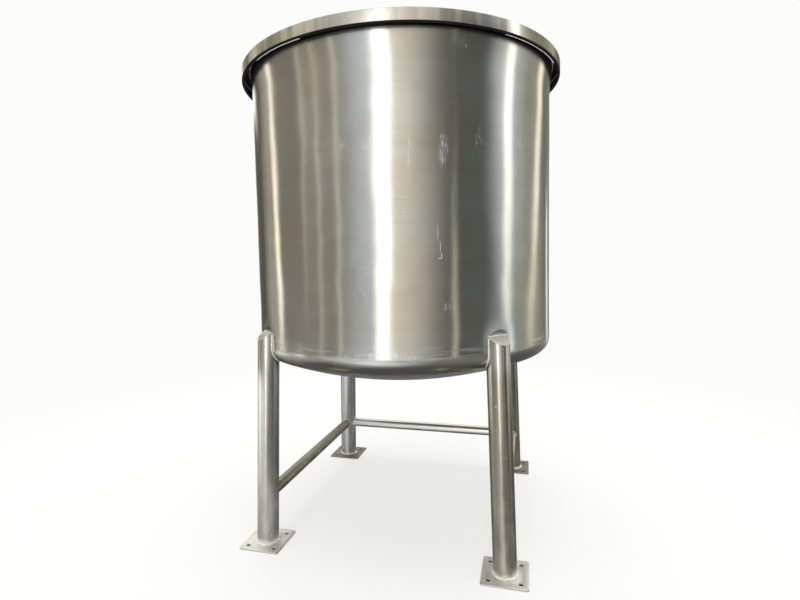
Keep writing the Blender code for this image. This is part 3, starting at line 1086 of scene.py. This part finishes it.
cameraView = {
    "turn": radians(13.99),      # round the tank from its open side
    "distance": 2.0407,
    "height": 1.0104,
    "yaw": radians(-1.093),
    "pitch": radians(-3.927),
    "roll": radians(-1.140),
    "focal": 492.5,              # in pixels of the 800 by 600 frame
    "centre": (394.67, 295.31),  # where the lens axis meets that frame
    "width": 800,
    "high": 600,
}


def makeCamera():
    view = cameraView
    around = Matrix.Rotation(view["turn"], 3, "Z")
    yaw, pitch, roll = view["yaw"], view["pitch"], view["roll"]
    forward = Vector((sin(yaw) * cos(pitch), cos(yaw) * cos(pitch), sin(pitch)))
    right = Vector((cos(yaw), -sin(yaw), 0))
    up = right.cross(forward)
    rightRolled = cos(roll) * right + sin(roll) * up
    upRolled = cos(roll) * up - sin(roll) * right
    turned = [around @ axis for axis in (rightRolled, upRolled, -forward)]
    data = bpy.data.cameras.new("photoCamera")
    data.sensor_width = 36
    data.sensor_fit = "HORIZONTAL"
    data.lens = 36 * view["focal"] / view["width"]
    data.shift_x = (view["width"] / 2 - view["centre"][0]) / view["width"]
    data.shift_y = (view["centre"][1] - view["high"] / 2) / view["width"]
    camera = addObject("photoCamera", data)
    seat = Matrix(turned).transposed().to_4x4()
    seat.translation = around @ Vector((0, -view["distance"], view["height"]))
    camera.matrix_world = seat
    bpy.context.scene.camera = camera


# Studio

studio = {
    "floorHex": "#FAFAF8",
    "backdropHex": "#FCFCFB",
    "plateShadowHex": "#24221F",     # painted shadow on the floor under the base plates, seen down their bolt holes
    "plateReach": (0.066, 0.072),       # half the width of that dark patch, and where it has faded
    "floorRadius": 12,
    "domeRadius": 14,
    "shadowReach": (1.3, 3.4),   # the floor takes shadows inside the first radius and none past the second
    "ownLight": 0.70,            # share of the floor's brightness that no shadow takes away
    "overheadHeight": 4.6,
    "overheadWatts": 160,
}

# What the steel reflects, by compass angle round the tank and by height. Heights are those of a unit look
# direction: 0 is level, 1 straight up. Each box has its angle, half width, fades to left and right, and
# glow, then what differs from the plain box: it fades downwards over "foot" and upwards over "head", "lean"
# turns it by so many degrees per unit of height, and "dims" are its strengths low and high.
plainBox = {"hex": "#FFFFFF", "lean": 0, "dims": (1.0, 1.0), "foot": (-0.50, -0.25), "head": (0.50, 0.80)}
softboxes = {
    "keyCore": (-90, 1.6, (5, 5), 1.6, {"lean": 8, "foot": (-0.42, -0.24)}),
    "keyLeftGlow": (-92.5, 0, (36, 12), 0.95, {"dims": (0.75, 1.1), "hex": "#ECF3FF",
                    "foot": (-0.36, -0.22)}),
    "keyRightGlow": (-92.5, 0, (8, 57), 1.24, {"hex": "#FFF5E8", "foot": (-0.36, -0.22)}),
    "keyShoulder": (-118, 4, (9, 10), 0.05, {}),
    "leftGlow": (-138, 10, (14, 14), 0.17, {"dims": (0.0, 1.0), "hex": "#FFF8EC"}),
    "leftStrip": (176.4, 1.3, (2.6, 3.4), 1.8, {"dims": (1.3, 0.6), "lean": -12, "foot": (-0.24, 0.0),
                  "hex": "#FFF6E2"}),
    "leftShoulder": (169, 4, (9, 8), 0.22, {"hex": "#FFF6E2"}),
    "leftLineA": (-152, 0.3, (1.3, 1.3), 0.85, {"dims": (0.0, 1.0), "hex": "#FFF6E2"}),
    "leftLineB": (-139, 0.3, (1.3, 1.3), 0.72, {"dims": (0.6, 1.0), "hex": "#FFF0D8"}),
    "leftLineC": (-124, 0.3, (1.3, 1.3), 0.75, {"dims": (0.8, 1.0), "hex": "#FFF6E2"}),
    "lowLine": (-39, 0.5, (1.6, 2.0), 0.9, {"head": (-0.02, 0.16), "hex": "#FFF2DA"}),
    "sideGlow": (6, 0, (22, 24), 1.0, {"dims": (0.48, 1.05), "foot": (-0.34, -0.22), "hex": "#F4F8FF"}),
    "sideCore": (5, 1.8, (4, 4), 1.5, {"dims": (0.5, 1.1), "lean": 12, "foot": (-0.34, -0.22),
                 "hex": "#FFFBF2"}),
    "rightGlow": (33, 8, (12, 22), 0.32, {"foot": (-0.27, -0.17), "hex": "#F4EFDC"}),
    "sideLine": (38, 1.4, (6, 6), 1.2, {"dims": (0.6, 1.1), "lean": 38, "foot": (-0.27, -0.17),
                 "hex": "#FFF6E0"}),
    "edgeStrip": (68, 1.5, (2, 3), 1.0, {"foot": (-0.27, -0.17), "head": (0.06, 0.16)}),
    "backKey": (130, 8, (5, 7), 1.6, {"foot": (0.25, 0.285), "head": (0.335, 0.375), "hex": "#FFFAE8"}),
    "overBack": (104, 30, (25, 25), 1.0, {"foot": (0.41, 0.47), "head": (0.75, 0.95)}),
    "lowKey": (-100, 4, (30, 22), 0.32, {"foot": (-0.92, -0.66), "head": (-0.34, -0.22)}),
    "underKey": (-98, 7, (36, 46), 0.75, {"foot": (-0.92, -0.66), "head": (-0.58, -0.46)}),
    "lowLeft": (-148, 42, (14, 16), 0.3, {"foot": (-0.68, -0.52), "head": (-0.34, -0.22)}),
    "lowRight": (-25, 25, (25, 25), 0.12, {"foot": (-0.9, -0.62), "head": (-0.34, -0.22)}),
}

room = {
    "litHex": "#9B958B",         # the wall to the left
    "dimHex": "#686A66",         # the wall to the right
    "dimAngle": -20,
    "dimReach": (-0.6, 0.8),     # cosines of the angle from it, lit to dim
    "dimsHeights": (-0.2, 0.4),  # where a softbox has its low and its high strength
    "ceilingHex": "#E2E2DE",
    "floorHex": "#5C5B57",
    "wallFoot": (-0.55, -0.25),
    "wallHead": (0.50, 0.80),
    "flag": {"angle": 142, "half": 7, "fade": (8, 8), "keeps": 0.40},      # black screen at the left rear
}


def addStage(name, bm, hexCode):
    stage = newObject(name, bm)
    material = bpy.data.materials.new(name)
    material.use_nodes = True
    tree = material.node_tree
    tree.nodes.clear()
    glow = addNode(tree, "Emission", {"Color": linearColour(hexCode)})
    stage.data.materials.append(material)
    stage.visible_glossy = False
    return stage, tree, glow


def makeFloor():
    # Pale seamless paper: it shows a soft shadow near the tank, has a painted shadow under the plates, and
    # fades into the backdrop
    bm = bmesh.new()
    bmesh.ops.create_circle(bm, cap_ends=True, segments=64, radius=studio["floorRadius"],
                            matrix=Matrix.Translation((0, 0, -0.0005)))
    tree, glow = addStage("paleFloor", bm, studio["backdropHex"])[1:]
    lit = addNode(tree, "BsdfDiffuse", {"Color": linearColour(studio["floorHex"])})
    own = addNode(tree, "Emission", {"Color": linearColour(studio["floorHex"]), "Strength": 1.0})
    paper = addNode(tree, "MixShader", {0: studio["ownLight"], 1: lit.outputs[0], 2: own.outputs[0]})
    coords = addNode(tree, "TexCoord")
    radius = addNode(tree, "VectorMath", {0: coords.outputs["Object"]}, operation="LENGTH").outputs["Value"]
    at = addNode(tree, "SeparateXYZ", {0: coords.outputs["Object"]})
    # Painted shadow: the floor is dark under each base plate
    plateAt = leg["foot"] * cos(pi / 4)
    sides = [math("ABSOLUTE", plus(math("ABSOLUTE", at.outputs[axis]), -plateAt)) for axis in "XY"]
    outsidePlateShadow = ramp(most(*sides), *studio["plateReach"])
    plateShadow = addNode(tree, "BsdfDiffuse", {"Color": linearColour(studio["plateShadowHex"])})
    paper = addNode(tree, "MixShader", {0: outsidePlateShadow, 1: plateShadow.outputs[0], 2: paper.outputs[0]})
    fade = ramp(radius, *studio["shadowReach"])
    mixed = addNode(tree, "MixShader", {0: fade, 1: paper.outputs[0], 2: glow.outputs[0]})
    addNode(tree, "OutputMaterial", {"Surface": mixed.outputs[0]})


def makeBackdrop():
    bm = bmesh.new()
    bmesh.ops.create_uvsphere(bm, u_segments=48, v_segments=24, radius=studio["domeRadius"])
    dome, tree, glow = addStage("paleBackdrop", bm, studio["backdropHex"])
    addNode(tree, "OutputMaterial", {"Surface": glow.outputs[0]})
    for ray in ("diffuse", "transmission", "shadow", "volume_scatter"):
        setattr(dome, "visible_" + ray, False)


def makeRoom():
    world = bpy.data.worlds.new("studioRoom")
    bpy.context.scene.world = world
    world.use_nodes = True
    tree = world.node_tree
    look = addNode(tree, "TexCoord")
    parts = addNode(tree, "SeparateXYZ", {0: look.outputs["Generated"]})
    height = parts.outputs["Z"]
    compass = math("ARCTAN2", parts.outputs["Y"], parts.outputs["X"])

    def sideways(angle, half, fades):
        away = math("SUBTRACT", compass, angle)
        away = addNode(tree, "Math", {0: away, 1: pi, 2: -pi}, operation="WRAP").outputs[0]
        left = ramp(away, radians(-half - fades[0]), radians(-half))
        right = ramp(away, radians(half + fades[1]), radians(half))
        return times(left, right)

    dim = radians(room["dimAngle"])
    toDim = addNode(tree, "VectorMath", {0: look.outputs["Generated"], 1: (cos(dim), sin(dim), 0)},
                    operation="DOT_PRODUCT")
    toDim = ramp(toDim.outputs["Value"], *room["dimReach"])
    total = blend(toDim, room["litHex"], room["dimHex"])
    flag = room["flag"]
    shade = sideways(radians(flag["angle"]), flag["half"], flag["fade"])
    shade = ramp(shade, 0.0, 1.0, 1.0, flag["keeps"])
    total = addNode(tree, "VectorMath", {0: total, "Scale": shade}, operation="SCALE").outputs[0]
    total = blend(ramp(height, *room["wallHead"]), total, room["ceilingHex"])
    total = blend(ramp(height, *room["wallFoot"][::-1]), total, room["floorHex"])
    for angle, half, fade, glow, extras in softboxes.values():
        box = {**plainBox, **extras}
        centre = radians(angle)
        if box["lean"]:
            centre = plus(times(height, radians(box["lean"])), centre)
        shape = sideways(centre, half, fade)
        shape = times(shape, ramp(height, *box["foot"]))
        shape = times(shape, ramp(height, *box["head"][::-1]))
        if box["dims"] != (1.0, 1.0):
            shape = times(shape, ramp(height, *room["dimsHeights"], *box["dims"]))
        colour = [channel * glow for channel in linearColour(box["hex"])[:3]]
        lit = addNode(tree, "VectorMath", {0: colour, "Scale": shape}, operation="SCALE")
        total = addNode(tree, "VectorMath", {0: total, 1: lit.outputs[0]}, operation="ADD").outputs[0]
    tree.links.new(total, tree.nodes["Background"].inputs["Color"])


def addPanel(name, size, watts, spot):
    light = bpy.data.lights.new(name, "AREA")
    light.shape = "RECTANGLE"
    light.size, light.size_y = size
    light.energy = watts
    lamp = addObject(name, light)
    lamp.location = spot
    lamp.visible_camera = False
    return lamp


def makeOverhead():
    lamp = addPanel("overhead", (4, 4), studio["overheadWatts"], (0, 0, studio["overheadHeight"]))
    lamp.visible_glossy = False


# Small gridded softboxes that face the two left legs, seen only in the steel. "stands" gives each one's leg
# by its place in the ring, the degrees round that leg, and its watts.
legPanels = {
    "stands": ((3, 172, 0.08), (3, -158, 0.13), (3, -128, 0.075), (3, -99, 0.02),
               (2, -165, 0.05), (2, -125, 0.06)),
    "distance": 0.60,
    "height": 0.28,
    "size": (0.34, 0.48),
    "spread": radians(50),
    "tilt": 0.0,
}
footPanels = {
    "stands": ((3, -42, 0.012),),
    "distance": 0.16,
    "height": 0.07,
    "size": (0.16, 0.14),
    "spread": radians(100),
    "tilt": 0.48,           # metres that it looks up per metre
}


def makeFillPanels(panels):
    for turn, degrees, watts in panels["stands"]:
        outward = Vector((cos(radians(degrees)), sin(radians(degrees)), 0))
        spot = legSpot(turn, leg["foot"]) + outward * panels["distance"] + Vector((0, 0, panels["height"]))
        lamp = addPanel("fillPanel", panels["size"], watts, spot)
        lamp.data.spread = panels["spread"]
        lamp.rotation_euler = (outward - Vector((0, 0, panels["tilt"]))).to_track_quat("Z", "Y").to_euler()
        lamp.visible_diffuse = False


def makeStudio():
    makeFloor()
    makeBackdrop()
    makeRoom()
    makeOverhead()
    makeFillPanels(legPanels)
    makeFillPanels(footPanels)
    bpy.context.scene.view_settings.view_transform = "Standard"


makeCamera()
print("camera set")
sheetFinish, endFinish, bandFinish = brushedSheet(), polishedEnd(), sandedBand()
pipes = {name: moppedPipe(name, *tones) for name, tones in pipeTones.items()}
capFinish = groundCap()
# Front plates take the lighter copy, rear plates the darker one: painted light and shade
plateFinish = shearedPlate("shearedPlate", plateLook["litFrontHex"])
shadedPlateFinish = shearedPlate("shadedShearedPlate", plateLook["shadedRearHex"])
beadFinish, dashFinish = weldBead("weldBead", (0.35, 0.75)), weldBead("weldDash", (0.0, 0.2))
print("finishes made")
makeShell(sheetFinish)
makeEnd(endFinish)
makeRim(bandFinish)
print("vessel made")
# Each leg takes a lighter or darker copy of the tube finish: painted light and shade
legFinishes = [pipes[name] for name in ("moppedLeg", "shadedMoppedLeg", "coolLitMoppedLeg", "litMoppedLeg")]
makeLegs(legFinishes, capFinish)
makePlates((plateFinish, shadedPlateFinish, shadedPlateFinish, plateFinish))
# The left brace takes a darker olive copy of the brace finish: painted shade
makeBraces({"right": pipes["moppedBrace"], "back": pipes["moppedBrace"], "left": pipes["shadedOliveMoppedBrace"]})
print("legs, plates and braces made")
makeWelds(beadFinish, dashFinish)
print("welds made")
makeStudio()
print("studio lit")
